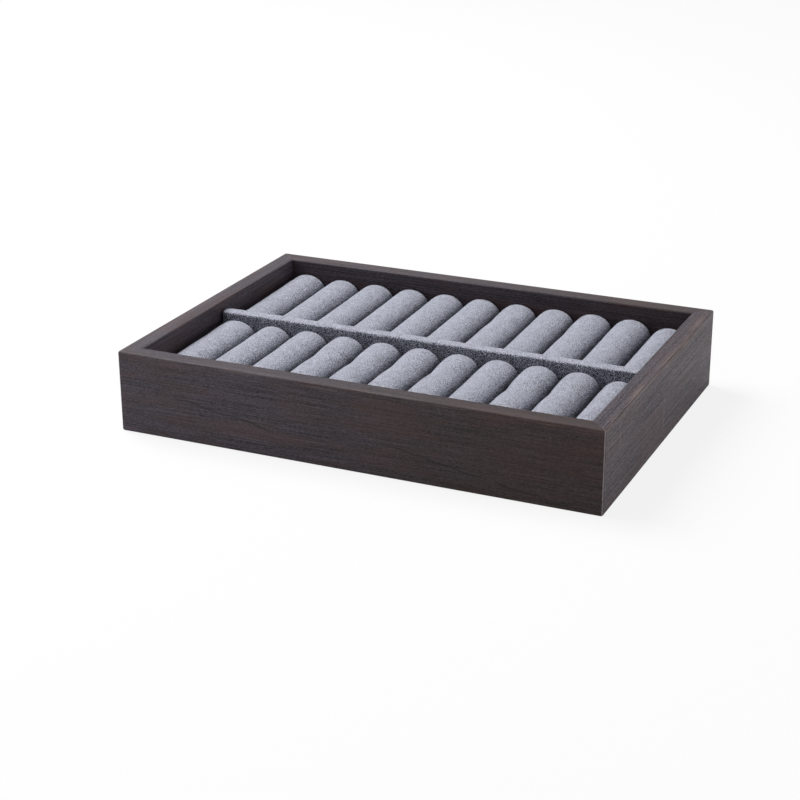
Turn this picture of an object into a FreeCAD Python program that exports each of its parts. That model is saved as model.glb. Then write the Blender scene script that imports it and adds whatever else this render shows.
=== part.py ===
# Jewelry tray: a mitred wooden frame, a lined base, a velvet-covered divider and two rows of ring rolls.
# Millimetres. The origin is the middle of the underside, +X runs along the rows and +Z points up.
import FreeCAD, Part
import math
import os

import Sketcher

# Driving dimensions, each written once
SIZES = {
    "tray_length": 240.0,
    "tray_depth": 170.0,
    "tray_height": 40.0,
    "wall_thickness": 9.0,
    "edge_radius": 0.9,
    "corner_ease": 0.3,
    "groove_lift": 3.0,
    "groove_depth": 4.0,
    "base_thickness": 3.0,
    "base_side_clearance": 0.2,
    "base_face_clearance": 0.1,
    "lining_thickness": 0.8,
    "lining_clearance": 0.2,
    "divider_board_thickness": 4.8,
    "divider_height": 28.6,
    "divider_end_clearance": 0.2,
    "wrap_thickness": 1.0,
    "wrap_clearance": 0.1,
    "wrap_edge_radius": 1.5,
    "rolls_per_row": 11,
    "roll_height": 25.4,
    "roll_clearance": 0.3,
    "roll_end_bevel": 2.0,
    "velvet_thickness": 0.8,
    "core_clearance": 0.1,
    "seam_gap": 1.2,
}

# Sizes worked out from the driving ones, as expressions on the sheet
INNER_LENGTH = "(Sizes.tray_length - 2 * Sizes.wall_thickness)"
INNER_DEPTH = "(Sizes.tray_depth - 2 * Sizes.wall_thickness)"
CORNER_RADIUS = "(Sizes.edge_radius + Sizes.corner_ease)"
GROOVE_HEIGHT = "(Sizes.base_thickness + 2 * Sizes.base_face_clearance)"
BASE_OVERLAP = "(Sizes.groove_depth - Sizes.base_side_clearance)"
BASE_Z = "(Sizes.groove_lift + Sizes.base_face_clearance)"
LINING_Z = f"({BASE_Z} + Sizes.base_thickness)"
FLOOR_Z = f"({LINING_Z} + Sizes.lining_thickness)"
WRAP_SKIN = "(Sizes.wrap_thickness + Sizes.wrap_clearance)"
WRAP_LENGTH = f"({INNER_LENGTH} - 2 * Sizes.divider_end_clearance)"
WRAP_DEPTH = f"(Sizes.divider_board_thickness + 2 * {WRAP_SKIN})"
ROW_DEPTH = f"(({INNER_DEPTH} - {WRAP_DEPTH}) / 2)"
ROW_CENTRE = f"(({WRAP_DEPTH} + {ROW_DEPTH}) / 2)"
ROLL_PITCH = f"(({INNER_LENGTH} - Sizes.roll_clearance) / Sizes.rolls_per_row)"
ROLL_LENGTH = f"({ROW_DEPTH} - 2 * Sizes.roll_clearance)"
CROWN_RADIUS = f"(({ROLL_PITCH} - Sizes.roll_clearance) / 2)"
CROWN_LIFT = f"(Sizes.roll_height - {CROWN_RADIUS})"
CROWN_Z = f"({FLOOR_Z} + Sizes.roll_clearance + {CROWN_LIFT})"
STRAIGHT_LENGTH = f"({ROLL_LENGTH} - 2 * Sizes.roll_end_bevel)"
CORE_LENGTH = f"({STRAIGHT_LENGTH} - 2 * Sizes.core_clearance)"
CORE_INSET = "(Sizes.velvet_thickness + Sizes.core_clearance)"

# Flat cuts that make the crown of a roll's foam
CROWN_FLATS = 7

# How a sketch counts a line's or arc's start, end and centre, and its own axes and origin
START, END, CENTRE = range(1, 4)
AXIS_X, AXIS_Y = range(-1, -3, -1)
ORIGIN = (AXIS_X, START)
UPWARD = FreeCAD.Vector(0, 0, 1)
NEAR = 1e-4

doc = FreeCAD.newDocument("jewelry_tray")


def make_sheet():
    """The driving dimensions, one named cell each."""
    cells = doc.addObject("Spreadsheet::Sheet", "Sizes")
    for row, (alias, value) in enumerate(SIZES.items(), start=1):
        cells.set(f"A{row}", alias)
        cells.set(f"B{row}", str(value))
        cells.setAlias(f"B{row}", alias)
    doc.recompute()
    return cells


sheet = make_sheet()


def number(expression):
    """What an expression on the sheet comes to now."""
    return float(sheet.evalExpression(expression))


def new_body(label):
    body = doc.addObject("PartDesign::Body", label)
    body.Label = label
    return body


def place(body, turn=0.0, **offsets):
    """Turn a body about Z and tie its x, y or z to expressions."""
    body.Placement = FreeCAD.Placement(FreeCAD.Vector(), FreeCAD.Rotation(UPWARD, turn))
    for axis, expression in offsets.items():
        body.setExpression(f"Placement.Base.{axis}", expression)


def origin_plane(body, role):
    return next(feature for feature in body.Origin.OriginFeatures if feature.Role == role)


def new_sketch(body, name, plane, offset=None):
    """A sketch on one of its body's own planes, or set off from it along the normal."""
    sketch = body.newObject("Sketcher::SketchObject", name)
    sketch.AttachmentSupport = [(origin_plane(body, plane), "")]
    sketch.MapMode = "FlatFace"
    if offset:
        sketch.setExpression("AttachmentOffset.Base.z", offset)
    return sketch


def new_feature(body, kind, name, sketch, length, **settings):
    """A pad or a pocket of a sketch, its length tied to an expression."""
    feature = body.newObject(f"PartDesign::{kind}", name)
    feature.Profile = sketch
    feature.setExpression("Length", length)
    for setting, value in settings.items():
        setattr(feature, setting, value)
    return feature


def ease_edges(body, base, kind, setting, amount, wanted):
    """Fillet or chamfer the edges of a feature that the given test of their two ends picks."""
    doc.recompute()
    names = []
    for i, edge in enumerate(base.Shape.Edges, start=1):
        if wanted(*(vertex.Point for vertex in edge.Vertexes)):
            names.append(f"Edge{i}")
    eased = body.newObject(f"PartDesign::{kind}", "eased_edges")
    eased.Base = (base, names)
    eased.setExpression(setting, amount)
    return eased


def dimension(sketch, name, expression, kind, *points):
    """A named dimension of a sketch, tied to an expression."""
    index = sketch.addConstraint(Sketcher.Constraint(kind, *points, number(expression)))
    sketch.renameConstraint(index, name)
    sketch.setExpression(f"Constraints.{name}", expression)


def constrain(sketch, kind, *points):
    sketch.addConstraint(Sketcher.Constraint(kind, *points))


def add_line(sketch, start, end):
    return sketch.addGeometry(Part.LineSegment(FreeCAD.Vector(*start, 0), FreeCAD.Vector(*end, 0)))


def add_arc(sketch, centre, radius, start_angle, end_angle):
    """An arc drawn anticlockwise between two angles in degrees."""
    circle = Part.Circle(FreeCAD.Vector(*centre, 0), UPWARD, radius)
    arc = Part.ArcOfCircle(circle, math.radians(start_angle), math.radians(end_angle))
    return sketch.addGeometry(arc)


def add_box_lines(sketch, low, high):
    """The four sides of an upright rectangle between two corners, anticlockwise from the lower left."""
    corners = [low, (high[0], low[1]), high, (low[0], high[1])]
    sides = [add_line(sketch, corners[i - 1], corners[i]) for i in (1, 2, 3, 0)]
    for i, side in enumerate(sides):
        constrain(sketch, "Coincident", side, END, sides[(i + 1) % 4], START)
        constrain(sketch, ("Horizontal", "Vertical")[i % 2], side)
    return sides


def draw_rectangle(sketch, width, height):
    """A rectangle centred on the sketch's origin."""
    corner = (number(width) / 2, number(height) / 2)
    low, right, top, left = add_box_lines(sketch, (-corner[0], -corner[1]), corner)
    constrain(sketch, "Symmetric", low, START, top, START, *ORIGIN)
    dimension(sketch, "width", width, "DistanceX", low, START, low, END)
    dimension(sketch, "height", height, "DistanceY", right, START, right, END)


def draw_groove(sketch):
    """The groove in a wall's inner face, at the height of the base board."""
    inner_face = number("Sizes.wall_thickness")
    lift = number("Sizes.groove_lift")
    corner = (inner_face - number("Sizes.groove_depth"), lift)
    floor, mouth, roof, back = add_box_lines(sketch, corner, (inner_face, lift + number(GROOVE_HEIGHT)))
    dimension(sketch, "inner_face", "Sizes.wall_thickness", "DistanceX", *ORIGIN, floor, END)
    dimension(sketch, "depth", "Sizes.groove_depth", "DistanceX", floor, START, floor, END)
    dimension(sketch, "lift", "Sizes.groove_lift", "DistanceY", *ORIGIN, floor, START)
    dimension(sketch, "height", GROOVE_HEIGHT, "DistanceY", mouth, START, mouth, END)


def draw_wall_plan(sketch, length):
    """A board seen from above, mitred at 45 degrees, with its outer face on the X axis.

    Each tip holds half of the tray's rounded corner, from the outer face to the mitre. The corner is
    a little rounder than the rim, so that the rim's rounding can run round it.
    """
    thick = number("Sizes.wall_thickness")
    radius = number(CORNER_RADIUS)
    half = number(length) / 2
    tip = (half - radius * (1 - math.sqrt(0.5)), radius * (1 - math.sqrt(0.5)))
    outer = add_line(sketch, (radius - half, 0), (half - radius, 0))
    right_tip = add_arc(sketch, (half - radius, radius), radius, -90, -45)
    right_mitre = add_line(sketch, tip, (half - thick, thick))
    inner = add_line(sketch, (half - thick, thick), (thick - half, thick))
    left_mitre = add_line(sketch, (thick - half, thick), (-tip[0], tip[1]))
    left_tip = add_arc(sketch, (radius - half, radius), radius, 225, 270)
    constrain(sketch, "Tangent", outer, END, right_tip, START)
    constrain(sketch, "Tangent", left_tip, END, outer, START)
    constrain(sketch, "Coincident", right_tip, END, right_mitre, START)
    constrain(sketch, "Coincident", left_mitre, END, left_tip, START)
    constrain(sketch, "PointOnObject", right_tip, CENTRE, right_mitre)
    constrain(sketch, "PointOnObject", left_tip, CENTRE, left_mitre)
    constrain(sketch, "Coincident", right_mitre, END, inner, START)
    constrain(sketch, "Coincident", inner, END, left_mitre, START)
    constrain(sketch, "Equal", right_tip, left_tip)
    constrain(sketch, "Symmetric", outer, START, outer, END, AXIS_Y)
    constrain(sketch, "Symmetric", inner, START, inner, END, AXIS_Y)
    constrain(sketch, "PointOnObject", outer, START, AXIS_X)
    outer_length = f"{length} - 2 * {CORNER_RADIUS}"
    inner_length = f"{length} - 2 * Sizes.wall_thickness"
    dimension(sketch, "corner_radius", CORNER_RADIUS, "Radius", right_tip)
    dimension(sketch, "thickness", "Sizes.wall_thickness", "DistanceY", outer, END, inner, START)
    dimension(sketch, "outer_length", outer_length, "DistanceX", outer, START, outer, END)
    dimension(sketch, "inner_length", inner_length, "DistanceX", inner, END, inner, START)


def add_foot(sketch, side, foot):
    """The flat foot and straight sides of a roll's section."""
    floor = add_line(sketch, (-side, foot), (side, foot))
    right = add_line(sketch, (side, foot), (side, 0))
    left = add_line(sketch, (-side, 0), (-side, foot))
    constrain(sketch, "Coincident", floor, END, right, START)
    constrain(sketch, "Coincident", left, END, floor, START)
    constrain(sketch, "Horizontal", floor)
    constrain(sketch, "Vertical", right)
    constrain(sketch, "Vertical", left)
    return right, left


def draw_arch(sketch, inset):
    """A roll's section about its crown's axis: a half-round top, straight sides and a flat foot.

    The inset draws every side in by the same amount.
    """
    radius, lift = f"{CROWN_RADIUS} - {inset}", f"{CROWN_LIFT} - {inset}"
    side = number(radius)
    right, left = add_foot(sketch, side, -number(lift))
    right_crown = add_arc(sketch, (0, 0), side, 0, 90)
    left_crown = add_arc(sketch, (0, 0), side, 90, 180)
    constrain(sketch, "Tangent", right, END, right_crown, START)
    constrain(sketch, "Coincident", right_crown, END, left_crown, START)
    constrain(sketch, "Coincident", right_crown, CENTRE, left_crown, CENTRE)
    constrain(sketch, "Tangent", left_crown, END, left, START)
    constrain(sketch, "Coincident", right_crown, CENTRE, *ORIGIN)
    constrain(sketch, "PointOnObject", right_crown, END, AXIS_Y)
    dimension(sketch, "radius", radius, "Radius", right_crown)
    dimension(sketch, "lift", lift, "DistanceY", right, START, right, END)


def draw_cut_arch(sketch, inset):
    """The same section with its crown in equal flats, as foam is cut with a straight blade."""
    radius, lift = f"{CROWN_RADIUS} - {inset}", f"{CROWN_LIFT} - {inset}"
    side = number(radius)
    right, left = add_foot(sketch, side, -number(lift))
    turns = [math.pi * i / CROWN_FLATS for i in range(CROWN_FLATS + 1)]
    corners = [(side * math.cos(turn), side * math.sin(turn)) for turn in turns]
    flats = [add_line(sketch, *ends) for ends in zip(corners, corners[1:])]
    crown = sketch.addGeometry(Part.Circle(FreeCAD.Vector(), UPWARD, side), True)
    constrain(sketch, "Coincident", crown, CENTRE, *ORIGIN)
    constrain(sketch, "PointOnObject", right, END, AXIS_X)
    constrain(sketch, "PointOnObject", right, END, crown)
    constrain(sketch, "PointOnObject", left, START, AXIS_X)
    constrain(sketch, "Coincident", right, END, flats[0], START)
    constrain(sketch, "Coincident", flats[-1], END, left, START)
    for flat, following in zip(flats, flats[1:]):
        constrain(sketch, "Coincident", flat, END, following, START)
        constrain(sketch, "Equal", flat, following)
    for flat in flats:
        constrain(sketch, "PointOnObject", flat, END, crown)
    dimension(sketch, "radius", radius, "Radius", crown)
    dimension(sketch, "lift", lift, "DistanceY", right, START, right, END)


def make_wall(label, length, turn, **offsets):
    """One board of the frame, grooved for the base and eased along its long edges."""
    body = new_body(label)
    plan = new_sketch(body, "plan", "XY_Plane")
    draw_wall_plan(plan, length)
    new_feature(body, "Pad", "board", plan, "Sizes.tray_height")
    section = new_sketch(body, "groove_section", "YZ_Plane")
    draw_groove(section)
    groove = new_feature(body, "Pocket", "groove", section, length, SideType="Symmetric")
    top = number("Sizes.tray_height")

    def is_worn(first, last):
        on_top = abs(first.z - top) + abs(last.z - top) < NEAR
        on_underside = abs(first.z) + abs(last.z) < NEAR
        outer = abs(first.y) + abs(last.y) < NEAR
        inner = abs(first.y - last.y) < NEAR
        return (outer and (on_top or on_underside)) or (inner and on_top)

    ease_edges(body, groove, "Fillet", "Radius", "Sizes.edge_radius", is_worn)
    place(body, turn, **offsets)
    return body


def make_slab(label, length, depth, thickness, z):
    """A flat rectangular piece centred over the origin."""
    body = new_body(label)
    plan = new_sketch(body, "plan", "XY_Plane")
    draw_rectangle(plan, length, depth)
    new_feature(body, "Pad", "slab", plan, thickness)
    place(body, z=z)
    return body


def make_divider_wrap():
    """Velvet over the divider's board: a cap open below, with its top edges and its ends rounded."""
    body = make_slab("divider_wrap", WRAP_LENGTH, WRAP_DEPTH, "Sizes.divider_height", FLOOR_Z)
    hollow = new_sketch(body, "hollow_plan", "XY_Plane")
    inside = [f"{outside} - 2 * Sizes.wrap_thickness" for outside in (WRAP_LENGTH, WRAP_DEPTH)]
    draw_rectangle(hollow, *inside)
    room = "Sizes.divider_height - Sizes.wrap_thickness"
    pocket = new_feature(body, "Pocket", "hollow", hollow, room, Reversed=True)
    top = number("Sizes.divider_height")
    end = number(WRAP_LENGTH) / 2

    def is_outside(first, last):
        on_top = abs(first.z - top) + abs(last.z - top) < NEAR
        on_end = abs(abs(first.x) - end) < NEAR and abs(first.x - last.x) < NEAR
        upright = abs(first.z - last.z) > NEAR
        return on_top or (on_end and upright)

    ease_edges(body, pocket, "Fillet", "Radius", "Sizes.wrap_edge_radius", is_outside)
    return body


def make_roll_cover():
    """The velvet sleeve of one roll: eased ends, and a seam left open along the foot."""
    body = new_body("roll_cover")
    outline = new_sketch(body, "outline", "XZ_Plane")
    draw_arch(outline, "0")
    sleeve = new_feature(body, "Pad", "sleeve", outline, ROLL_LENGTH, SideType="Symmetric")
    end = number(ROLL_LENGTH) / 2

    def on_end(first, last):
        return abs(first.y - last.y) < NEAR and abs(abs(first.y) - end) < NEAR

    ease_edges(body, sleeve, "Chamfer", "Size", "Sizes.roll_end_bevel", on_end)
    inside = new_sketch(body, "inside", "XZ_Plane")
    draw_cut_arch(inside, "Sizes.velvet_thickness")
    new_feature(body, "Pocket", "cavity", inside, STRAIGHT_LENGTH, SideType="Symmetric")
    seam = new_sketch(body, "seam_plan", "XY_Plane", f"-{CROWN_LIFT}")
    draw_rectangle(seam, "Sizes.seam_gap", CORE_LENGTH)
    new_feature(body, "Pocket", "seam", seam, "Sizes.velvet_thickness", Reversed=True)
    return body


def make_roll_core():
    """The foam inside one roll."""
    body = new_body("roll_core")
    section = new_sketch(body, "section", "XZ_Plane")
    draw_cut_arch(section, CORE_INSET)
    new_feature(body, "Pad", "foam", section, CORE_LENGTH, SideType="Symmetric")
    return body


def copy_of(pattern, label, **offsets):
    """A body of its own that repeats a pattern body at another place."""
    body = new_body(label)
    repeat = body.newObject("PartDesign::FeatureBase", "repeat")
    repeat.BaseFeature = pattern
    body.Tip = repeat
    place(body, **offsets)
    return body


def make_frame():
    """The four mitred walls."""
    half_length, half_depth = "Sizes.tray_length / 2", "Sizes.tray_depth / 2"
    return [
        make_wall("front_wall", "Sizes.tray_length", 0, y=f"-{half_depth}"),
        make_wall("right_wall", "Sizes.tray_depth", 90, x=half_length),
        make_wall("back_wall", "Sizes.tray_length", 180, y=half_depth),
        make_wall("left_wall", "Sizes.tray_depth", 270, x=f"-{half_length}"),
    ]


def make_base():
    """The board held in the walls' groove, and the velvet on it."""
    board_size = [f"{inner} + 2 * {BASE_OVERLAP}" for inner in (INNER_LENGTH, INNER_DEPTH)]
    lining_size = [f"{inner} - 2 * Sizes.lining_clearance" for inner in (INNER_LENGTH, INNER_DEPTH)]
    return [
        make_slab("base_board", *board_size, "Sizes.base_thickness", BASE_Z),
        make_slab("base_lining", *lining_size, "Sizes.lining_thickness", LINING_Z),
    ]


def make_divider():
    """The strip between the rows: a board under its velvet wrap."""
    board_length = f"{WRAP_LENGTH} - 2 * {WRAP_SKIN}"
    board_height = f"Sizes.divider_height - {WRAP_SKIN}"
    board = make_slab("divider_board", board_length, "Sizes.divider_board_thickness", board_height, FLOOR_Z)
    return [board, make_divider_wrap()]


def make_rolls():
    """Two rows of ring rolls, each roll a cover and a core."""
    patterns = {"cover": make_roll_cover(), "core": make_roll_core()}
    doc.recompute()
    count = round(number("Sizes.rolls_per_row"))
    rolls = []
    for row, side in (("front", "-"), ("rear", "")):
        for i in range(count):
            x = f"{ROLL_PITCH} * ({i} - (Sizes.rolls_per_row - 1) / 2)"
            for layer, pattern in patterns.items():
                label = f"{row}_roll_{i + 1:02d}_{layer}"
                rolls.append(copy_of(pattern, label, x=x, y=f"{side}{ROW_CENTRE}", z=CROWN_Z))
    return rolls


def check_and_write(pieces):
    """Stop if anything failed to build, and otherwise write one file for each piece."""
    doc.recompute()
    for item in doc.Objects:
        if {"Invalid", "Error"} & set(item.State):
            raise RuntimeError(f"{item.Label} failed: {item.State}")
    for piece in pieces:
        if piece.Shape.isNull() or not piece.Shape.isValid():
            raise RuntimeError(f"{piece.Label} isn't a valid shape")
        if len(piece.Shape.Solids) != 1 or len(piece.Shape.Shells) != 1:
            raise RuntimeError(f"{piece.Label} isn't one solid in one skin, open where it should be")
    os.makedirs("parts", exist_ok=True)
    for piece in pieces:
        piece.Shape.exportStep(f"parts/{piece.Label}.step")
        box = piece.Shape.BoundBox
        size = f"{box.XLength:.2f} x {box.YLength:.2f} x {box.ZLength:.2f}"
        print(f"{piece.Label}: {size}, z from {box.ZMin:.2f}")


check_and_write(make_frame() + make_base() + make_divider() + make_rolls())
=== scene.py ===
# %% [markdown]
# # A jewelry tray with ring rolls
# The tray is a shallow frame of four wood-grain boards, mitred at the corners. Inside, a velvet divider
# parts two rows of ring rolls: foam bars in velvet covers, pressed side by side so that a ring is held
# in the slot between two of them. The solids come ready in the frame file, at their real size in metres.
# This lesson gives them their finishes and makes the soft pieces anew: velvet that is bevelled, cut open,
# inflated and napped.

import math

import bmesh
import bpy
import numpy as np
from mathutils import Matrix, Vector


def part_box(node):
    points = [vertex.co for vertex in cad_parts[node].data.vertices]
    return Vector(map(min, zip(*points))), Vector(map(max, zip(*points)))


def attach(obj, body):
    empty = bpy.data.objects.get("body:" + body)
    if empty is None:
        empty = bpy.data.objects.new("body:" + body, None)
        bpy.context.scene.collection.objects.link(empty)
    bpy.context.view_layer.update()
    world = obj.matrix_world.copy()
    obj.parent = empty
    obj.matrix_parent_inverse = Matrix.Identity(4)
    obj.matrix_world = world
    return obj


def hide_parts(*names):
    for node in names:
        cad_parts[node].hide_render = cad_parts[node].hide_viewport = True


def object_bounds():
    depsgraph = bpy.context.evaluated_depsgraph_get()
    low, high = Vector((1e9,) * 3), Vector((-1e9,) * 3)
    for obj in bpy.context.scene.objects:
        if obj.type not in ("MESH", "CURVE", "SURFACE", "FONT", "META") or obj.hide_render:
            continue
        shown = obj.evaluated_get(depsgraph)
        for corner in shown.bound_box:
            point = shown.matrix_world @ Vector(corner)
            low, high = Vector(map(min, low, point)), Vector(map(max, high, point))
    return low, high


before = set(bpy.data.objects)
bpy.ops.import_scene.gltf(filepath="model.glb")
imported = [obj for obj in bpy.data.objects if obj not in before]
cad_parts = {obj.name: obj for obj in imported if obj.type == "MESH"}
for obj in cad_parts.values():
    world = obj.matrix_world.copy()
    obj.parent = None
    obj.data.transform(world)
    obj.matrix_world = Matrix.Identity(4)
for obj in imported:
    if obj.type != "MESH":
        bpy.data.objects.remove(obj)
cad_low, cad_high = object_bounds()
bpy.ops.object.select_all(action="DESELECT")
print("CAD box", [round(value, 4) for value in (*cad_low, *cad_high)])

# %% [markdown]
# ## The camera
# The tray was photographed from its front right, a little above. A camera could be moved by hand until the
# view looks right, but the tray's eight outer corners, at their real size, fix it: where the eye stood, how
# the camera was turned, and its focal length in pixels. A camera looks along its own -Z, so its third axis
# is the direction back from the tray to the eye.

# %% The camera
PHOTO_PIXELS = 800
FOCAL_PIXELS = 1835.06
SENSOR_WIDTH = 36.0
NEAREST_SEEN = 0.01
EYE = Vector((0.3339, -0.7657, 0.3368))
EYE_TURN = math.radians(24.378)
EYE_RISE = math.radians(21.743)
EYE_TILT = math.radians(-0.256)


def camera_axes():
    """The camera's right, up and back directions, with its slight tilt."""
    level = math.cos(EYE_RISE)
    back = Vector((math.sin(EYE_TURN) * level, -math.cos(EYE_TURN) * level, math.sin(EYE_RISE)))
    side = Vector((math.cos(EYE_TURN), math.sin(EYE_TURN), 0.0))
    over = back.cross(side)
    right = side * math.cos(EYE_TILT) + over * math.sin(EYE_TILT)
    up = over * math.cos(EYE_TILT) - side * math.sin(EYE_TILT)
    return right, up, back


def make_camera():
    lens = bpy.data.cameras.new("photo_camera")
    lens.sensor_width = SENSOR_WIDTH
    lens.lens = FOCAL_PIXELS / PHOTO_PIXELS * SENSOR_WIDTH
    lens.clip_start = NEAREST_SEEN
    camera = bpy.data.objects.new("photo_camera", lens)
    bpy.context.scene.collection.objects.link(camera)
    turn = Matrix(camera_axes()).transposed().to_4x4()
    camera.matrix_world = Matrix.Translation(EYE) @ turn
    bpy.context.scene.camera = camera
    return camera


camera = make_camera()
print("focal length", round(camera.data.lens, 2), "mm")

# %% [markdown]
# ## Nodes and wires
# A finish is a small tree of shader nodes. It could be drawn by hand in the node editor, but in code every
# choice can be read. These helpers add a node and wire its inputs in one line, so that the finishes below
# read like recipes. Colours are written as on a paint chip, from 0 to 255, and changed to the linear
# values that a shader works with.

# %% Nodes and wires
def paint(red, green, blue):
    """A paint chip's colour as the linear colour of a shader socket."""
    def linear(value):
        share = value / 255.0
        return share / 12.92 if share <= 0.04045 else ((share + 0.055) / 1.055) ** 2.4

    return (linear(red), linear(green), linear(blue), 1.0)


def wire(socket, value):
    """Feed a socket from another node's output, or set it."""
    if isinstance(value, bpy.types.NodeSocket):
        socket.id_data.links.new(value, socket)
    else:
        socket.default_value = value


def set_inputs(node, **inputs):
    """Wire or set inputs by name, with _ for each blank in the name."""
    for name, value in inputs.items():
        wire(node.inputs[name.replace("_", " ")], value)


def add_node(tree, kind, settings=None, **inputs):
    node = tree.nodes.new(f"ShaderNode{kind}")
    for name, value in (settings or {}).items():
        setattr(node, name, value)
    set_inputs(node, **inputs)
    return node


def sums(tree, operation, *values):
    """One step of arithmetic on numbers."""
    node = add_node(tree, "Math", {"operation": operation})
    for socket, value in zip(node.inputs, values):
        wire(socket, value)
    return node.outputs[0]


def product(tree, first, *others):
    """Multiply numbers in turn."""
    for other in others:
        first = sums(tree, "MULTIPLY", first, other)
    return first


def blend_colours(tree, share, first, second, way="MIX"):
    """Put a share of the second colour over the first. The node has its colours at inputs 6 and 7."""
    node = add_node(tree, "Mix", {"data_type": "RGBA", "blend_type": way})
    wire(node.inputs[0], share)
    wire(node.inputs[6], first)
    wire(node.inputs[7], second)
    return node.outputs[2]


# %% [markdown]
# ## Masks, noise and finishes
# Most marks on this tray start as a noise or a distance. A part of its range is stretched, with soft ends,
# to a mask that says how much of a colour lies where. Noise is measured in metres here, so that a mark is
# as large on the tray as its number says.

# %% Masks, noise and finishes
def spread(tree, value, low, high, to_low=0.0, to_high=1.0):
    """Stretch the range from low to high over a new range, and hold it there."""
    node = add_node(tree, "MapRange", {"interpolation_type": "SMOOTHSTEP"}, Value=value)
    for name, number in (("From Min", low), ("From Max", high), ("To Min", to_low), ("To Max", to_high)):
        node.inputs[name].default_value = number
    return node.outputs[0]


def fade_out(tree, value, start, gone, share=1.0):
    """A share up to start that falls to nothing at gone."""
    return spread(tree, value, start, gone, share, 0.0)


def grain_noise(tree, place, cell, detail=2.0):
    """Noise whose marks are about as large as cell, a size in metres along each axis."""
    stretch = add_node(tree, "Mapping", Vector=place, Scale=tuple(1.0 / size for size in cell))
    return add_node(tree, "TexNoise", Vector=stretch.outputs[0], Scale=1.0, Detail=detail).outputs[0]


def emboss(tree, surface, height, depth, strength=1.0):
    """Let the light see a height as if it were in the shape."""
    bump = add_node(tree, "Bump", Strength=strength, Distance=depth, Height=height)
    set_inputs(surface, Normal=bump.outputs[0])


def new_finish(name):
    """An empty finish: its material, its tree and its surface shader."""
    material = bpy.data.materials.new(name)
    material.use_nodes = True
    tree = material.node_tree
    return material, tree, tree.nodes["Principled BSDF"]


def give_finish(piece, material):
    piece.data.materials.clear()
    piece.data.materials.append(material)


# %% [markdown]
# ## The sky and the lamps
# The picture's background is pure white, so the sky counts as 1 for the camera, shines less in the satin
# foil, and lights the tray least. One small lamp would be simpler, but it would throw hard shadows between
# the rolls. So a wide soft lamp hangs behind the tray to the left, a weaker one lights its front from the
# left, and a third its right side. Each row below is a lamp's name, place, size and power.

# %% The sky and the lamps
WHITE = (1.0, 1.0, 1.0, 1.0)
SKY_LIGHT = 0.24
SKY_SHINE = 0.80
LAMPS = (
    ("soft_lamp", Vector((-1.10, 0.20, 1.50)), 1.1, 38.0),
    ("front_lamp", Vector((-0.50, -0.50, 0.25)), 0.3, 0.38),
    ("side_lamp", Vector((1.20, 0.10, 0.22)), 0.5, 2.7),
)


def make_sky():
    world = bpy.data.worlds.new("studio")
    world.use_nodes = True
    bpy.context.scene.world = world
    tree = world.node_tree
    path = add_node(tree, "LightPath")
    shine = sums(tree, "MULTIPLY_ADD", path.outputs["Is Glossy Ray"], SKY_SHINE - SKY_LIGHT, SKY_LIGHT)
    strength = sums(tree, "MAXIMUM", shine, path.outputs["Is Camera Ray"])
    set_inputs(tree.nodes["Background"], Color=WHITE, Strength=strength)


def make_lamp(name, place, size, power):
    """A square lamp that looks at the tray."""
    light = bpy.data.lights.new(name, "AREA")
    light.shape = "SQUARE"
    light.size = size
    light.energy = power
    lamp = bpy.data.objects.new(name, light)
    bpy.context.scene.collection.objects.link(lamp)
    lamp.location = place
    lamp.rotation_mode = "QUATERNION"
    lamp.rotation_quaternion = place.to_track_quat("Z", "Y")


bpy.context.scene.view_settings.view_transform = "Standard"
make_sky()
for lamp_row in LAMPS:
    make_lamp(*lamp_row)
print(len(LAMPS), "lamps")

# %% [markdown]
# ## The paper
# The tray stands on plain white paper. More light would turn it white, but it would bleach the tray too.
# So the paper is partly self-lit for the camera, which keeps it white and leaves a faint shadow under the
# tray. It glows a little for everything else, as paper does that is lit from all round, and that lifts the
# foot of the boards.

# %% The paper
PAPER_SIZE = 12.0
PAPER_COLOUR = paint(246, 246, 246)
PAPER_GLOW = 0.85
PAPER_LIFT = 0.36


def make_paper():
    bpy.ops.mesh.primitive_plane_add(size=PAPER_SIZE, location=(0.0, 0.0, 0.0))
    paper = bpy.context.object
    paper.name = "white_paper"
    material, tree, surface = new_finish("white_paper")
    set_inputs(surface, Base_Color=PAPER_COLOUR, Roughness=1.0, Specular_IOR_Level=0.0)
    glow = add_node(tree, "Emission", Strength=1.0)
    seen = add_node(tree, "LightPath").outputs["Is Camera Ray"]
    share = sums(tree, "MAXIMUM", product(tree, seen, PAPER_GLOW), PAPER_LIFT)
    mix = add_node(tree, "MixShader", Fac=share)
    wire(mix.inputs[1], surface.outputs[0])
    wire(mix.inputs[2], glow.outputs[0])
    wire(tree.nodes["Material Output"].inputs[0], mix.outputs[0])
    give_finish(paper, material)


make_paper()
print("paper", PAPER_SIZE, "m wide")

# %% [markdown]
# ## Wood-grain foil
# The frame is fibreboard wrapped in a printed dark walnut foil. Close up, the print has long thin lines
# along each board, broken up by short flecks like the pores of the wood. Slow patches of redder brown lie
# over them. Some boards are tinted browner towards one end, and darker there in painted shade. It could be a
# picture wrapped round the boards, but a picture blurs close up and shows its seams. Noise that is stretched
# along the board has neither fault. Each board has its own copy with its own shift, and the grain turns with
# the board at the mitres, as it does on the real one.

# %% Wood-grain foil
FOIL_DARK = paint(12, 9, 11)
FOIL_PALE = paint(88, 79, 89)
FOIL_RED = paint(78, 58, 56)
# Multiplied in towards one end of a board: the print turns browner there, and darker in painted shade.
BROWN_AND_SHADE_TINT = paint(208, 187, 168)
LINE_CELL = (0.035, 0.00036, 0.00036)
LINE_RANGE = (0.32, 0.68)
LINE_SHARE = 0.5
FLECK_CELL = (0.0011, 0.00030, 0.00030)
FLECK_RANGE = (0.30, 0.70)
PATCH_CELL = (0.040, 0.007, 0.007)
PATCH_RANGE = (0.40, 0.70)
PATCH_SHARE = 0.4
# Where along the board the browning and the painted shade set in.
BROWN_AND_SHADE_RANGE = (-0.08, 0.12)


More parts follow.
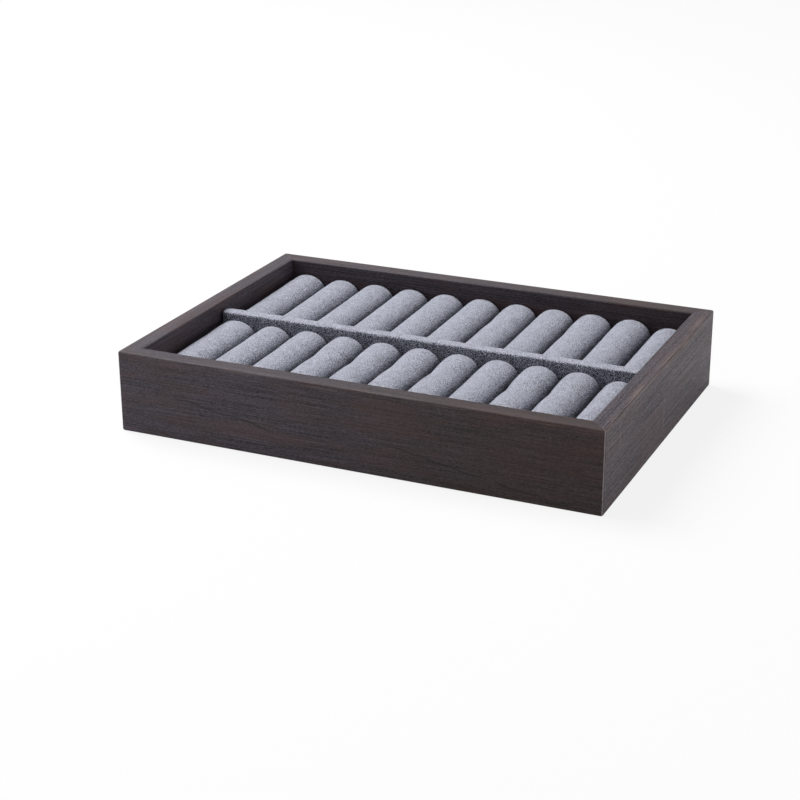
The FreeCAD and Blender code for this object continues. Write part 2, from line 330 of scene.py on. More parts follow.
def board_place(tree, along_y):
    """Object coordinates turned so that x runs along the board."""
    turn = math.radians(90.0) if along_y else 0.0
    place = add_node(tree, "TexCoord").outputs["Object"]
    return add_node(tree, "Mapping", Vector=place, Rotation=(0.0, 0.0, turn)).outputs[0]


def foil_colour(tree, place, along, brown_and_shade):
    """The print's lines, flecks and red patches, its browning with painted shade, and how high its pale parts
    stand.
    """
    lines = spread(tree, grain_noise(tree, place, LINE_CELL), *LINE_RANGE)
    flecks = spread(tree, grain_noise(tree, place, FLECK_CELL, detail=1.0), *FLECK_RANGE)
    patches = spread(tree, grain_noise(tree, place, PATCH_CELL), *PATCH_RANGE)
    # Painted shade: towards one end the board is tinted browner and darker.
    browned_and_shaded = spread(tree, along, *BROWN_AND_SHADE_RANGE, 0.0, brown_and_shade)
    pale = sums(tree, "MULTIPLY_ADD", lines, LINE_SHARE, product(tree, flecks, 1.0 - LINE_SHARE))
    colour = blend_colours(tree, pale, FOIL_DARK, FOIL_PALE)
    colour = blend_colours(tree, product(tree, patches, PATCH_SHARE), colour, FOIL_RED)
    colour = blend_colours(tree, browned_and_shaded, colour, BROWN_AND_SHADE_TINT, "MULTIPLY")
    return colour, pale


# %% [markdown]
# ## Flame lines
# Where the print shows wood that was cut slightly across its rings, thin dark lines fall slowly along the
# board. A wave texture could draw many at once, but there are only a few, so each has a place of its own:
# where its middle is along the board, how high it lies, and how far it reaches to each side. A little noise
# keeps it from being ruled.

# %% Flame lines
FLAME_SLOPE = 0.18
FLAME_WIDTH = 0.0006
FLAME_BEND = 0.0012
FLAME_CELL = (0.020, 0.020, 0.020)
FLAME_SOLID = 0.5
NOISE_RANGE = (0.2, 0.8)


def flame_lines(tree, place, flames):
    """1 on each line, fading towards its two ends."""
    axes = add_node(tree, "SeparateXYZ", Vector=place)
    bend = spread(tree, grain_noise(tree, place, FLAME_CELL), *NOISE_RANGE, -FLAME_BEND, FLAME_BEND)
    bent = sums(tree, "ADD", axes.outputs[2], bend)
    shown = 0.0
    for middle, height, reach in flames:
        along = sums(tree, "SUBTRACT", axes.outputs[0], middle)
        fall = sums(tree, "MULTIPLY_ADD", along, FLAME_SLOPE, bent)
        off = sums(tree, "ABSOLUTE", sums(tree, "SUBTRACT", fall, height))
        line = fade_out(tree, off, 0.0, FLAME_WIDTH)
        ends = fade_out(tree, sums(tree, "ABSOLUTE", along), FLAME_SOLID * reach, reach)
        shown = sums(tree, "MAXIMUM", product(tree, line, ends), shown)
    return shown


# %% [markdown]
# ## Worn seams
# At the corners the foil is cut and folded, and handling rubs its print off, here more and there less. The
# upright corners show a thin pale line, and on the rim a fainter broken one follows each mitre. They could
# be painted on by hand, but both lie where a point is as far in from the end of the tray as from its side,
# so one sum finds them all. A pair named FADE or DEPTH says where a mark starts to fade and where it is gone.

# %% Worn seams
CORNER_FADE = (0.00024, 0.0004)
CORNER_DEPTH = (0.0009, 0.00108)
CORNER_RUB = (0.3, 0.6)
CORNER_LEAST = 0.55
MITRE_FADE = (0.00004, 0.00016)
MITRE_RUB = (0.40, 0.60)
MITRE_SHARE = 0.5
RIM_DEPTH = 0.0010
RUB_CELL = (0.003, 0.003, 0.003)


def seam_wear(tree):
    """1 on the upright corners, and less along the mitres on the rim."""
    place = add_node(tree, "TexCoord").outputs["Object"]
    axes = add_node(tree, "SeparateXYZ", Vector=place)
    from_end = sums(tree, "SUBTRACT", cad_high.x, sums(tree, "ABSOLUTE", axes.outputs[0]))
    from_side = sums(tree, "SUBTRACT", cad_high.y, sums(tree, "ABSOLUTE", axes.outputs[1]))
    apart = sums(tree, "ABSOLUTE", sums(tree, "SUBTRACT", from_end, from_side))
    uneven_noise = grain_noise(tree, place, RUB_CELL)
    corner = fade_out(tree, apart, *CORNER_FADE)
    outside = fade_out(tree, from_end, *CORNER_DEPTH)
    uneven = spread(tree, uneven_noise, *CORNER_RUB, CORNER_LEAST)
    mitre = fade_out(tree, apart, *MITRE_FADE, MITRE_SHARE)
    rim = spread(tree, axes.outputs[2], cad_high.z - RIM_DEPTH, cad_high.z)
    broken = spread(tree, uneven_noise, *MITRE_RUB)
    return sums(tree, "MAXIMUM", product(tree, corner, outside, uneven), product(tree, mitre, rim, broken))


# %% [markdown]
# ## Painted edge highlight and rubbed streaks
# Beside the top outer edge, where hands hold the tray, the foil is rubbed to pale brown streaks, most of
# all on the right board. The rounded edge itself is painted pale, a painted highlight that lifts the shade
# on it. The streaks could be painted on, but a noise that is stretched along the board gives them, and the
# distance from the edge says how strong the highlight and the streaks are.

# %% Painted edge highlight and rubbed streaks
# A pale line of painted highlight on the rounded top outer edge, which lifts its shade.
EDGE_LIGHT_FADE = (0.0002, 0.0008)
EDGE_LIGHT_SHARE = 0.30
EDGE_LIGHT_BREAKS = (0.35, 0.60)
EDGE_LIGHT_LEAST = 0.35
STREAK_FADE = (0.0008, 0.0045)
STREAK_SHARE = 0.45
STREAK_CELL = (0.025, 0.0005, 0.0005)
STREAK_RUB = (0.48, 0.62)


def edge_highlight_and_streaks(tree, place, half_width):
    """A painted highlight on the top outer edge, with rubbed streaks beside it that run along the board."""
    axes = add_node(tree, "SeparateXYZ", Vector=place)
    from_outside = sums(tree, "SUBTRACT", half_width, sums(tree, "ABSOLUTE", axes.outputs[1]))
    from_top = sums(tree, "SUBTRACT", cad_high.z, axes.outputs[2])
    from_edge = sums(tree, "MAXIMUM", from_outside, from_top)
    uneven_noise = grain_noise(tree, place, STREAK_CELL)
    # edge: the painted highlight on the rounded edge, broken up by the noise.
    edge = fade_out(tree, from_edge, *EDGE_LIGHT_FADE, EDGE_LIGHT_SHARE)
    edge = product(tree, edge, spread(tree, uneven_noise, *EDGE_LIGHT_BREAKS, EDGE_LIGHT_LEAST))
    beside = fade_out(tree, from_edge, *STREAK_FADE, STREAK_SHARE)
    streaks = product(tree, beside, spread(tree, uneven_noise, *STREAK_RUB))
    return sums(tree, "MAXIMUM", edge, streaks)


# %% [markdown]
# ## Dust and scratches
# A few specks of dust lie on the foil, and the right board has faint upright scratches. These could be
# geometry, but they have no depth that one could see, so they stay in the colour. Dust is the top of a fine
# noise, and each scratch has its own place along the board and two heights between which it runs.

# %% Dust and scratches
DUST_CELL = (0.0010, 0.0010, 0.0010)
DUST_RANGE = (0.85, 0.90)
DUST_SHARE = 0.6
SCRATCH_WIDTH = 0.0008
SCRATCH_SHARE = 0.50
SCRATCH_SOLID = 0.6
SCRATCH_RUB = (0.35, 0.60)
SCRATCH_LEAST = 0.3


def small_marks(tree, place, scratches):
    """Specks of dust all over, and upright scratches, each at its place between two heights."""
    axes = add_node(tree, "SeparateXYZ", Vector=place)
    marks = spread(tree, grain_noise(tree, place, DUST_CELL, detail=0.0), *DUST_RANGE, 0.0, DUST_SHARE)
    uneven = spread(tree, grain_noise(tree, place, RUB_CELL), *SCRATCH_RUB, SCRATCH_LEAST)
    for along, low, high in scratches:
        off = sums(tree, "ABSOLUTE", sums(tree, "SUBTRACT", axes.outputs[0], along))
        line = fade_out(tree, off, 0.0, SCRATCH_WIDTH, SCRATCH_SHARE)
        off = sums(tree, "ABSOLUTE", sums(tree, "SUBTRACT", axes.outputs[2], (low + high) / 2))
        half = (high - low) / 2
        ends = fade_out(tree, off, SCRATCH_SOLID * half, half)
        marks = sums(tree, "MAXIMUM", product(tree, line, ends, uneven), marks)
    return marks


# %% [markdown]
# ## The layers of the foil
# The recipe puts print, flame lines, the painted edge highlight with its rubbed streaks, worn seams and small
# marks over one another, print first and wear last. The foil is satin, a little smoother on the pale lines
# than in the pressed dark ones.

# %% The layers of the foil
FOIL_LINE = paint(20, 14, 15)
# The pale brown of the painted edge highlight and of the rubbed streaks beside it.
FOIL_EDGE_LIGHT_AND_RUB = paint(146, 126, 117)
FOIL_WORN = paint(138, 128, 133)
FLAME_STRENGTH = 0.75
DARK_ROUGHNESS = 0.58
PALE_ROUGHNESS = 0.45
PRINT_DEPTH = 0.00006
PRINT_STRENGTH = 0.35


def foil_finish(name, along_y, shift, grain, tone, brown_and_shade, edge_light_and_rub, flames, scratches=()):
    material, tree, surface = new_finish(name)
    board = board_place(tree, along_y)
    along = add_node(tree, "SeparateXYZ", Vector=board).outputs[0]
    place = add_node(tree, "Mapping", Vector=board, Location=shift, Scale=(1.0 / grain,) * 3).outputs[0]
    colour, relief = foil_colour(tree, place, along, brown_and_shade)
    colour = add_node(tree, "HueSaturation", Value=tone, Color=colour).outputs[0]
    lines = flame_lines(tree, board, flames)
    colour = blend_colours(tree, product(tree, lines, FLAME_STRENGTH), colour, FOIL_LINE)
    # Painted highlight on the top outer edge, and rubbed streaks beside it.
    edge = edge_highlight_and_streaks(tree, board, cad_high.x if along_y else cad_high.y)
    colour = blend_colours(tree, product(tree, edge, edge_light_and_rub), colour, FOIL_EDGE_LIGHT_AND_RUB)
    worn = sums(tree, "MAXIMUM", seam_wear(tree), small_marks(tree, board, scratches))
    colour = blend_colours(tree, worn, colour, FOIL_WORN)
    satin = spread(tree, relief, 0.0, 1.0, DARK_ROUGHNESS, PALE_ROUGHNESS)
    set_inputs(surface, Base_Color=colour, Roughness=satin, Specular_IOR_Level=0.25)
    emboss(tree, surface, relief, PRINT_DEPTH, PRINT_STRENGTH)
    return material


# %% [markdown]
# ## Foil on the boards
# One finish for all boards would be simpler, but real boards come from different places of the print. So
# each has its own shift into the print, size of grain, tone, share of browning with painted shade, share of
# painted edge highlight with rubbed streaks, flame lines and scratches.

# %% Foil on the boards
BOARDS = {
    "front_wall": dict(
        along_y=False, shift=(0.0, 0.0, 0.0), grain=1.0, tone=1.0, brown_and_shade=1.0, edge_light_and_rub=0.3,
        flames=(
            (-0.062, 0.0174, 0.030), (0.045, 0.0112, 0.028),
            (0.079, 0.0052, 0.012), (0.114, 0.0181, 0.009),
        ),
    ),
    "back_wall": dict(
        along_y=False, shift=(0.31, 0.07, 0.0), grain=1.0, tone=1.0, brown_and_shade=0.6, edge_light_and_rub=0.3,
        flames=((-0.035, 0.0310, 0.030), (0.050, 0.0150, 0.022)),
    ),
    "left_wall": dict(
        along_y=True, shift=(0.17, 0.11, 0.0), grain=1.2, tone=1.15, brown_and_shade=0.0, edge_light_and_rub=0.4,
        flames=((0.020, 0.0240, 0.028),),
    ),
    "right_wall": dict(
        along_y=True, shift=(0.53, 0.19, 0.0), grain=1.6, tone=1.05, brown_and_shade=0.0, edge_light_and_rub=1.0,
        flames=((-0.030, 0.0120, 0.020), (0.040, 0.0270, 0.024)),
        scratches=(
            (0.0642, 0.0220, 0.0385), (-0.0030, 0.0035, 0.0260),
            (0.0759, 0.0290, 0.0340), (0.0750, 0.0090, 0.0115),
        ),
    ),
}

for board, recipe in BOARDS.items():
    give_finish(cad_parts[board], foil_finish(f"{board}_foil", **recipe))
print("foil on", len(BOARDS), "boards")

# %% [markdown]
# ## Bare fibreboard
# The base and the strip inside the divider are thin fibreboard. Only the base shows, from below. A plain
# brown would look like plastic. Pressed fibres have no grain direction, so even noise at two sizes is enough.

# %% Bare fibreboard
BARE_BOARDS = ("base_board", "divider_board")
FIBRE_DEEP = paint(104, 82, 62)
FIBRE_PALE = paint(138, 112, 86)
FIBRE_CELL = (0.0012, 0.0012, 0.0012)
FIBRE_RANGE = (0.3, 0.7)
FIBRE_DEPTH = 0.0001
FIBRE_STRENGTH = 0.4
CLOUD_COLOUR = paint(92, 70, 54)
CLOUD_CELL = (0.02, 0.02, 0.02)
CLOUD_RANGE = (0.35, 0.65)
CLOUD_SHARE = 0.3


def fibreboard_finish():
    material, tree, surface = new_finish("fibreboard")
    place = add_node(tree, "TexCoord").outputs["Object"]
    fibres = spread(tree, grain_noise(tree, place, FIBRE_CELL, detail=3.0), *FIBRE_RANGE)
    clouds = spread(tree, grain_noise(tree, place, CLOUD_CELL), *CLOUD_RANGE)
    colour = blend_colours(tree, fibres, FIBRE_DEEP, FIBRE_PALE)
    colour = blend_colours(tree, product(tree, clouds, CLOUD_SHARE), colour, CLOUD_COLOUR)
    set_inputs(surface, Base_Color=colour, Roughness=0.85)
    emboss(tree, surface, fibres, FIBRE_DEPTH, FIBRE_STRENGTH)
    return material


fibreboard = fibreboard_finish()
for board in BARE_BOARDS:
    give_finish(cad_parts[board], fibreboard)
print("fibreboard on", len(BARE_BOARDS), "boards")

# %% [markdown]
# ## Painted light and shade on the velvet
# The colour of the velvet is painted light and shade by the way the cloth faces: paler where it faces up and
# to the back, darker on the flanks, darker still on faces turned to the front, away from the main lamp, and
# darkest on the steep sides in the slots between the rolls, where the specks are weaker too. On faces turned
# to the front or the right the specks are stronger, as painted shade of the pile's small shadows. The way
# that the surface faces says all of this, so no mask has to be drawn.

# %% Painted light and shade on the velvet
# Painted shade: flanks darker, faces turned to the front darker still, faces turned up and back paler.
FLANK_SHADE = 0.20
BACK_LIGHT_GAIN = 0.40
FACING_SHADE_RANGE = (-0.10, 0.75)
FACING_SHADE_SHARES = (0.16, 0.56)
# Painted shade on the steep sides in the slots between the rolls, where the specks are weaker too.
SLOT_SHADE_RANGE = (0.76, 0.95)
SLOT_SHADE_LOSS = 0.24
# Stronger specks on faces turned to the front and right, as painted shade of the pile's small shadows.
SHADED_SIDE_RANGE = (0.0, 0.9)
SPECK_LEVEL = 0.46
SHADED_SPECK_GAIN = 0.34
SLOT_SPECK_LOSS = 0.45


def painted_pile_shade(tree, facing):
    """The pale share of the colour, painted light and shade by the way the cloth faces, and the specks'
    strength.
    """
    right, back, up = facing.outputs
    sideways = sums(tree, "ABSOLUTE", right)
    # Painted shade on the steep sides, in the slots between the rolls.
    slot_shade = spread(tree, sideways, *SLOT_SHADE_RANGE)
    # Painted light where the cloth faces up and back, painted shade on flanks and front faces.
    facing_light = sums(tree, "MULTIPLY_ADD", sideways, -FLANK_SHADE, up)
    facing_light = sums(tree, "MULTIPLY_ADD", back, BACK_LIGHT_GAIN, facing_light)
    lit_share = spread(tree, facing_light, *FACING_SHADE_RANGE, *FACING_SHADE_SHARES)
    lit_share = sums(tree, "MULTIPLY_ADD", slot_shade, -SLOT_SHADE_LOSS, lit_share)
    # Stronger specks away from the main lamp: painted shade of the pile's small shadows.
    shaded_side = spread(tree, sums(tree, "SUBTRACT", right, back), *SHADED_SIDE_RANGE)
    strength = sums(tree, "MULTIPLY_ADD", shaded_side, SHADED_SPECK_GAIN, SPECK_LEVEL)
    strength = sums(tree, "MULTIPLY_ADD", slot_shade, -SLOT_SPECK_LOSS, strength)
    return lit_share, strength


# %% [markdown]
# ## Lavender-grey velvet
# Pile looks dark where one looks straight into it and pale where one looks across it, because the tips catch
# the light. It could be grown as strands, but the rolls would need millions of them. The shader's sheen gives
# the same light, specks of about 0.4 mm break up the colour, and clumps of about 0.6 mm raise the surface.

# %% Lavender-grey velvet
# Dark specks and painted shade at one end of the mix, pale specks and painted light at the other.
VELVET_DARK_AND_SHADE = paint(40, 41, 50)
VELVET_PALE_AND_LIGHT = paint(222, 225, 241)
VELVET_SHEEN = paint(226, 229, 240)
SPECK_CELL = (0.00038, 0.00038, 0.00038)
CLUMP_CELL = (0.0006, 0.0006, 0.0006)
CLUMP_DEPTH = 0.0005
TUFT_CELL = (0.004, 0.004, 0.004)
TUFT_RANGE = (0.3, 0.7)
TUFT_SHARE = 0.05


def velvet_finish():
    material, tree, surface = new_finish("velvet")
    surroundings = add_node(tree, "TexCoord")
    place = surroundings.outputs["Object"]
    facing = add_node(tree, "SeparateXYZ", Vector=surroundings.outputs["Normal"])
    lit_share, strength = painted_pile_shade(tree, facing)
    specks = spread(tree, grain_noise(tree, place, SPECK_CELL, detail=1.0), *NOISE_RANGE, -1.0, 1.0)
    tufts = spread(tree, grain_noise(tree, place, TUFT_CELL), *TUFT_RANGE, -TUFT_SHARE, TUFT_SHARE)
    # The painted light and shade, with the specks and tufts over it.
    share = sums(tree, "MULTIPLY_ADD", specks, strength, lit_share)
    colour = blend_colours(tree, sums(tree, "ADD", share, tufts), VELVET_DARK_AND_SHADE, VELVET_PALE_AND_LIGHT)
    set_inputs(surface, Base_Color=colour, Roughness=0.95, Specular_IOR_Level=0.1)
    set_inputs(surface, Sheen_Weight=0.5, Sheen_Roughness=0.45, Sheen_Tint=VELVET_SHEEN)
    emboss(tree, surface, grain_noise(tree, place, CLUMP_CELL, detail=1.0), CLUMP_DEPTH)
    return material


velvet = velvet_finish()
print("velvet of", len(velvet.node_tree.nodes), "nodes")

# %% [markdown]
# ## Tools for the bench
# Soft pieces start as blocks. These helpers do what one would do by hand in edit mode: add a block at its
# size and place, pick edges by where they lie, bevel them, and apply a modifier.

# %% Tools for the bench
def start_block(name, size, middle):
    """A block of a size about its middle, left in edit mode."""
    bpy.ops.object.select_all(action="DESELECT")
    bpy.ops.mesh.primitive_cube_add(size=1.0, location=(0.0, 0.0, 0.0))
    piece = bpy.context.object
    piece.name = name
    bpy.ops.object.mode_set(mode="EDIT")
    bpy.ops.transform.resize(value=size)
    bpy.ops.transform.translate(value=middle)
    return piece


def pick_edges(piece, wanted):
    """In edit mode, select the edges whose two ends answer wanted."""
    bpy.ops.mesh.select_mode(type="EDGE")
    bpy.ops.mesh.select_all(action="DESELECT")
    mesh = bmesh.from_edit_mesh(piece.data)
    for edge in mesh.edges:
        edge.select_set(wanted(*(corner.co for corner in edge.verts)))
    bmesh.update_edit_mesh(piece.data)


def bevel_edges(piece, wanted, offset, steps):
    pick_edges(piece, wanted)
    bpy.ops.mesh.bevel(offset=offset, segments=steps, profile=0.5, affect="EDGES", clamp_overlap=True)


def apply_modifier(piece, kind, **settings):
    """Add one modifier with these settings and apply it."""
    modifier = piece.modifiers.new(kind.lower(), kind)
    for name, value in settings.items():
        setattr(modifier, name, value)
    bpy.context.view_layer.objects.active = piece
    bpy.ops.object.modifier_apply(modifier=modifier.name)


# %% [markdown]
# ## A ring roll on the bench
# A roll is a foam bar with a round crown and a flat foot, in a velvet cover. It could be lofted, but on
# the bench it is a block whose long top edges are bevelled until they nearly meet in a half-round, and whose
# rims are bevelled again to soft ends. The cloth solver is made for things the size of a garment, so the
# bench model is twenty times as large as the roll.

# %% A ring roll on the bench
BENCH_SCALE = 20.0
MIDDLE_ROLL = "front_roll_06_cover"
roll_low, roll_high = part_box(MIDDLE_ROLL)
ROLL_WIDTH, ROLL_LENGTH, ROLL_HEIGHT = roll_high - roll_low
FABRIC_SWELL = 0.0003
CROWN_SHARE = 0.499
CROWN_STEPS = 14
END_ROUND = 0.0022
END_STEPS = 5
VOXEL = 0.00115


def bench_roll():
    """The block with its round crown and soft ends, in an even net of small faces."""
    size = BENCH_SCALE * Vector((ROLL_WIDTH, ROLL_LENGTH - 2 * FABRIC_SWELL, ROLL_HEIGHT - FABRIC_SWELL))
    near = 1e-4
    top, end = size.z - near, size.y / 2 - near

    def long_top_edge(a, b):
        return min(a.z, b.z) > top and abs(a.x - b.x) < near

    def end_rim(a, b):
        return min(abs(a.y), abs(b.y)) > end and a.y * b.y > 0.0

    piece = start_block("bench_roll", size, (0.0, 0.0, size.z / 2))
    bevel_edges(piece, long_top_edge, CROWN_SHARE * size.x, CROWN_STEPS)
    bevel_edges(piece, end_rim, BENCH_SCALE * END_ROUND, END_STEPS)
    bpy.ops.object.mode_set(mode="OBJECT")
    apply_modifier(piece, "REMESH", mode="VOXEL", voxel_size=BENCH_SCALE * VOXEL)
    return piece


bench = bench_roll()
print("bench roll", [round(side, 3) for side in bench.dimensions], len(bench.data.polygons), "faces")

# %% [markdown]
# ## Points as tables
# From here on, points are moved by rules. That could be done one point at a time, but it is quicker to read
# a mesh's points into a table of numbers, work on all of them at once, and write them back.

# %% Points as tables
def ease(share):
    """0 up to 0, 1 from 1 on, and a smooth rise between them."""
    share = np.clip(share, 0.0, 1.0)
    return share * share * (3.0 - 2.0 * share)


def points_of(mesh, kind="vertices", name="co"):
    values = np.empty(3 * len(mesh.vertices))
    getattr(mesh, kind).foreach_get(name, values)
    return values.reshape(-1, 3)


def set_points(mesh, points):
    mesh.vertices.foreach_set("co", points.ravel())
    mesh.update()


# %% [markdown]
# ## Filling the cover
# Air pressure in the cover stands for the foam. The swell could be sculpted, but the cloth solver finds the
# shape that cloth takes. The foot and the lower flanks are held, because there the roll sits on the lining
# and between its neighbours, and the hold fades with height so that it leaves no crease. The crown is free
# to swell, and a cap on how far any point may move keeps the roll in the space that its solid holds.

# %% Filling the cover
FILL_PRESSURE = 4.0
FILL_FRAMES = 20
HELD_UP_TO = 0.10
FREE_FROM = 0.70
NO_DISTANCE = 1e-9


def hold_foot(piece, points):
    """A vertex group that grips the foot fully and fades with height."""
    held = piece.vertex_groups.new(name="held")
    height = points[:, 2] / (BENCH_SCALE * ROLL_HEIGHT)
    grip = 1.0 - ease((height - HELD_UP_TO) / (FREE_FROM - HELD_UP_TO))
    for index, share in enumerate(grip.tolist()):
        held.add([index], share, "REPLACE")
    return held


def inflate(piece, held):
    """Let the pressure work for some frames, and keep the shape that the cloth comes to."""
    cloth = piece.modifiers.new("cloth", "CLOTH")
    cloth.settings.vertex_group_mass = held.name
    cloth.settings.use_pressure = True
    cloth.settings.uniform_pressure_force = FILL_PRESSURE
    cloth.settings.effector_weights.gravity = 0.0
    for moment in range(1, FILL_FRAMES + 1):
        bpy.context.scene.frame_set(moment)
    bpy.context.view_layer.objects.active = piece
    bpy.ops.object.modifier_apply(modifier=cloth.name)
    bpy.context.scene.frame_set(1)


def fill_cover(piece, most):
    """Inflate a closed cover with its foot held, and cap how far each point moves."""
    before = points_of(piece.data)
    inflate(piece, hold_foot(piece, before))
    moved = points_of(piece.data) - before
    distance = np.linalg.norm(moved, axis=1, keepdims=True)
    print("cover swelled by up to", round(float(distance.max()) / BENCH_SCALE * 1000, 2), "mm")
    cap = np.minimum(1.0, most / np.maximum(distance, NO_DISTANCE))
    set_points(piece.data, before + moved * cap)
    piece.vertex_groups.clear()


fill_cover(bench, BENCH_SCALE * FABRIC_SWELL)
apply_modifier(bench, "SUBSURF", levels=1, render_levels=1)
print("bench roll", len(bench.data.polygons), "faces")

# %% [markdown]
# ## Shaping a roll
# No two rolls in the picture are quite alike: the covers are fuller towards the far end, some have a waist
# before it and the others only a hint of one, those beside the end walls stand higher or lower, and the
# rows lean a little to the right. They could be sculpted one by one, but a few soft rules with a draw of
# chance shape them all. The lean is one slow push over a whole row, least at the walls, so neighbours move
# together and never cross.

# %% Shaping a roll
CHANCE = (0.6, 1.0)
HEAD_SWELL = {"front": 0.0008, "rear": 0.0011}
HEAD_MIDDLE = 0.4
HEAD_SLOPE = 0.75
WAIST_DEPTH = {"front": 0.0010, "rear": 0.0006}
WAISTED = {"front": (4, 5, 6, 7, 9, 10), "rear": (7, 9)}
WAIST_HINT = 0.25
WAIST_PLACE = (0.2, 0.45)
WAIST_REACH = 0.22
CROWN_SPREAD = 0.0002
CROWN_FROM = 0.35
CROWN_RISE = 0.5
WIDER_SHARE = 0.5
SIDE_LIMIT = 0.00995
END_RISE = {("front", 1): -0.0004, ("front", 11): -0.0014, ("rear", 1): 0.0005, ("rear", 11): -0.0016}
ROW_PUSH = {"front": 0.0012, "rear": 0.0008}
PUSH_RISE = 0.025
PUSH_FALL = 0.018
inside_low, inside_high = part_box("base_lining")


def bell(distance, width):
    return np.exp(-((distance / width) ** 2))


def shape_roll(points, row, number, draw):
    """Fill the far half, draw in a waist, keep the sides clear of the neighbours, and set the height."""
    along = points[:, 1] / (ROLL_LENGTH / 2)
    heads = HEAD_SWELL[row] * draw.uniform(*CHANCE) * ease(HEAD_MIDDLE + HEAD_SLOPE * along)
    depth = WAIST_DEPTH[row] * (1.0 if number in WAISTED[row] else WAIST_HINT)
    waist = depth * draw.uniform(*CHANCE) * bell(along - draw.uniform(*WAIST_PLACE), WAIST_REACH)
    fuller = CROWN_SPREAD * draw.uniform(-1.0, 1.0)
    swell = (heads - waist + fuller) * ease((points[:, 2] / ROLL_HEIGHT - CROWN_FROM) / CROWN_RISE)
    points[:, 2] += swell
    points[:, 0] *= 1.0 + WIDER_SHARE * swell / (ROLL_WIDTH / 2)
    points[:, 0] = np.clip(points[:, 0], -SIDE_LIMIT, SIDE_LIMIT)
    points[:, 2] *= 1.0 + END_RISE.get((row, number), 0.0) / ROLL_HEIGHT


def push_row(points, row):
    """Lean a row to the right, with nothing moved beside the walls."""
    from_left = (points[:, 0] - inside_low.x) / PUSH_RISE
    from_right = (inside_high.x - points[:, 0]) / PUSH_FALL
    points[:, 0] += ROW_PUSH[row] * ease(from_left) * ease(from_right)


# %% [markdown]
# ## Nap
# The pile also roughens the outline of a velvet piece. A displacement texture could do that, but chance on
# every point is as fine as the net itself. One helper then gives every velvet piece its nap, its smooth
# shading and its finish, and hides the solids that it stands in for.

# %% Nap
PILE_DEPTH = 0.00004
PILE_LIMIT = 2.0


def nap(piece, draw):
    """Raise and lower the pile at random along the surface's own direction."""
    mesh = piece.data
    points = points_of(mesh)
    outward = points_of(mesh, "vertex_normals", "vector")
    lift = PILE_DEPTH * np.clip(draw.standard_normal(len(points)), -PILE_LIMIT, PILE_LIMIT)
    set_points(mesh, points + outward * lift[:, None])


def finish_velvet(piece, draw, *solids):
    nap(piece, draw)
    piece.data.shade_smooth()
    give_finish(piece, velvet)
    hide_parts(*solids)


# %% [markdown]
# ## Twenty-two rolls
# Every roll is the bench roll at its own place, shaped and napped by its own draw of chance. Copies could
# share one mesh, but these differ, so each has a mesh of its own. A roll rides on its own body, because it
# can be lifted out.

# %% Twenty-two rolls
ROWS = ("front", "rear")
ROLLS_PER_ROW = 11


def make_roll(row, number):
    body = f"{row}_roll_{number:02d}"
    low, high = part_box(f"{body}_cover")
    draw = np.random.default_rng([ROWS.index(row), number])
    piece = bpy.data.objects.new(f"{body}_velvet", bench.data.copy())
    bpy.context.scene.collection.objects.link(piece)
    points = points_of(piece.data) / BENCH_SCALE
    shape_roll(points, row, number, draw)
    points += np.array(((low.x + high.x) / 2, (low.y + high.y) / 2, low.z))
    push_row(points, row)
    set_points(piece.data, points)
    finish_velvet(piece, draw, f"{body}_cover", f"{body}_core")
    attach(piece, body)
    return piece


rolls = [make_roll(row, number) for row in ROWS for number in range(1, ROLLS_PER_ROW + 1)]
bpy.data.objects.remove(bench)
print(len(rolls), "rolls of", len(rolls[0].data.polygons), "faces")

# %% [markdown]
# ## The divider's velvet
# A strip of velvet is folded over the divider board and tucked in round its two ends, so that it makes
# a long narrow cap. The cloth solver could fold it, but the fold is straight and tight. So it is modelled
# as a block whose ends and top are bevelled round, turned into an even net that is fine enough for the
# pile, opened below and given thickness inwards.

# %% The divider's velvet
WRAP_THICKNESS = 0.001
WRAP_END_ROUND = 0.0028
WRAP_END_STEPS = 5
FOLD_ROUND = 0.0010
FOLD_STEPS = 4
WRAP_VOXEL = 0.0009
WRAP_SEED = 31
wrap_low, wrap_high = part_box("divider_wrap")
wrap_size = wrap_high - wrap_low


def remove_below(piece, height):
    """Delete the faces that lie wholly below a height."""
    bpy.ops.object.mode_set(mode="EDIT")
    bpy.ops.mesh.select_mode(type="FACE")
    bpy.ops.mesh.select_all(action="DESELECT")
    mesh = bmesh.from_edit_mesh(piece.data)
    for face in mesh.faces:
        face.select_set(all(corner.co.z < height for corner in face.verts))
    bmesh.update_edit_mesh(piece.data)
    bpy.ops.mesh.delete(type="FACE")
    bpy.ops.object.mode_set(mode="OBJECT")


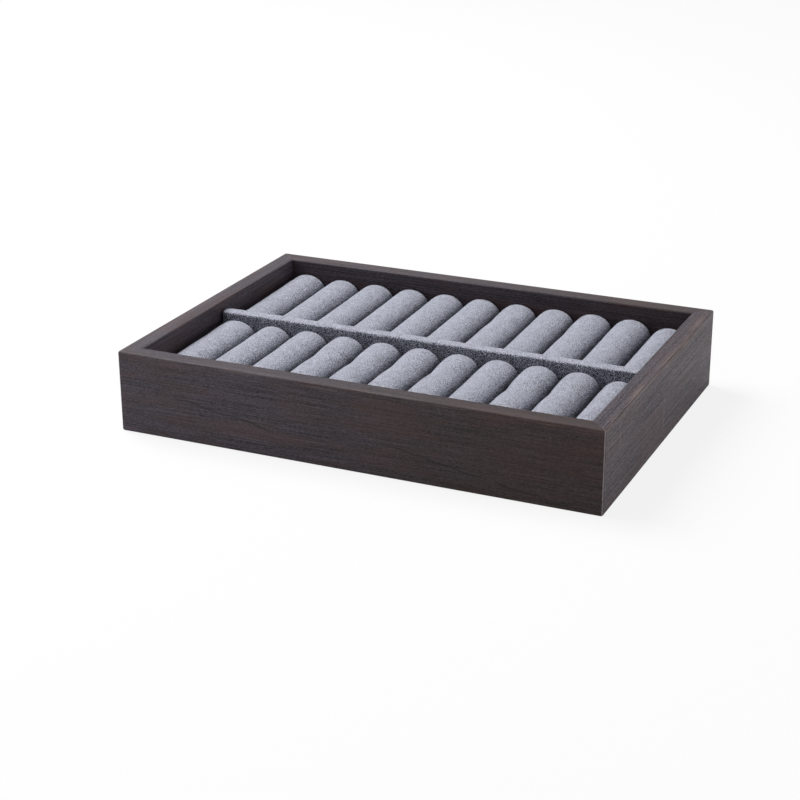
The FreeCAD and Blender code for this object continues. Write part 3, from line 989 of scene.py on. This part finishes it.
def divider_velvet():
    near = 1e-6
    top = wrap_high.z - near

    def upright_edge(a, b):
        return abs(a.z - b.z) > near

    def top_edge(a, b):
        return min(a.z, b.z) > top

    piece = start_block("divider_velvet", wrap_size, (wrap_low + wrap_high) / 2)
    bevel_edges(piece, upright_edge, WRAP_END_ROUND, WRAP_END_STEPS)
    bevel_edges(piece, top_edge, FOLD_ROUND, FOLD_STEPS)
    bpy.ops.object.mode_set(mode="OBJECT")
    apply_modifier(piece, "REMESH", mode="VOXEL", voxel_size=WRAP_VOXEL)
    remove_below(piece, wrap_low.z + WRAP_VOXEL / 2)
    set_points(piece.data, np.clip(points_of(piece.data), wrap_low, wrap_high))
    apply_modifier(piece, "SOLIDIFY", thickness=WRAP_THICKNESS, offset=-1.0)
    return piece


wrap = divider_velvet()
finish_velvet(wrap, np.random.default_rng(WRAP_SEED), "divider_wrap")
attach(wrap, "tray")

# %% [markdown]
# ## The lining
# The same velvet lies flat on the base, under the rolls. It shows only in the slots and where a roll has
# been lifted out, so a plane in a coarser net is enough, with thickness added downwards.

# %% The lining
LINING_CELL = 0.0015
LINING_SEED = 32
STRAIGHT_SHARE = 0.9


def cut_edges(piece, direction, cell):
    """Divide every edge that runs along one axis into pieces of about a cell."""
    def runs_along(a, b):
        return abs((b - a)[direction]) > STRAIGHT_SHARE * (b - a).length

    pick_edges(piece, runs_along)
    mesh = bmesh.from_edit_mesh(piece.data)
    length = max(edge.calc_length() for edge in mesh.edges if edge.select)
    bpy.ops.mesh.subdivide(number_cuts=round(length / cell) - 1)


def lining_velvet():
    size = inside_high - inside_low
    bpy.ops.object.select_all(action="DESELECT")
    bpy.ops.mesh.primitive_plane_add(size=1.0, location=(0.0, 0.0, 0.0))
    piece = bpy.context.object
    piece.name = "lining_velvet"
    bpy.ops.object.mode_set(mode="EDIT")
    bpy.ops.transform.resize(value=(size.x, size.y, 1.0))
    bpy.ops.transform.translate(value=(0.0, 0.0, inside_high.z))
    for direction in range(2):
        cut_edges(piece, direction, LINING_CELL)
    bpy.ops.object.mode_set(mode="OBJECT")
    apply_modifier(piece, "SOLIDIFY", thickness=size.z, offset=-1.0)
    return piece


lining = lining_velvet()
finish_velvet(lining, np.random.default_rng(LINING_SEED), "base_lining")
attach(lining, "tray")
print("lining", len(lining.data.polygons), "faces")
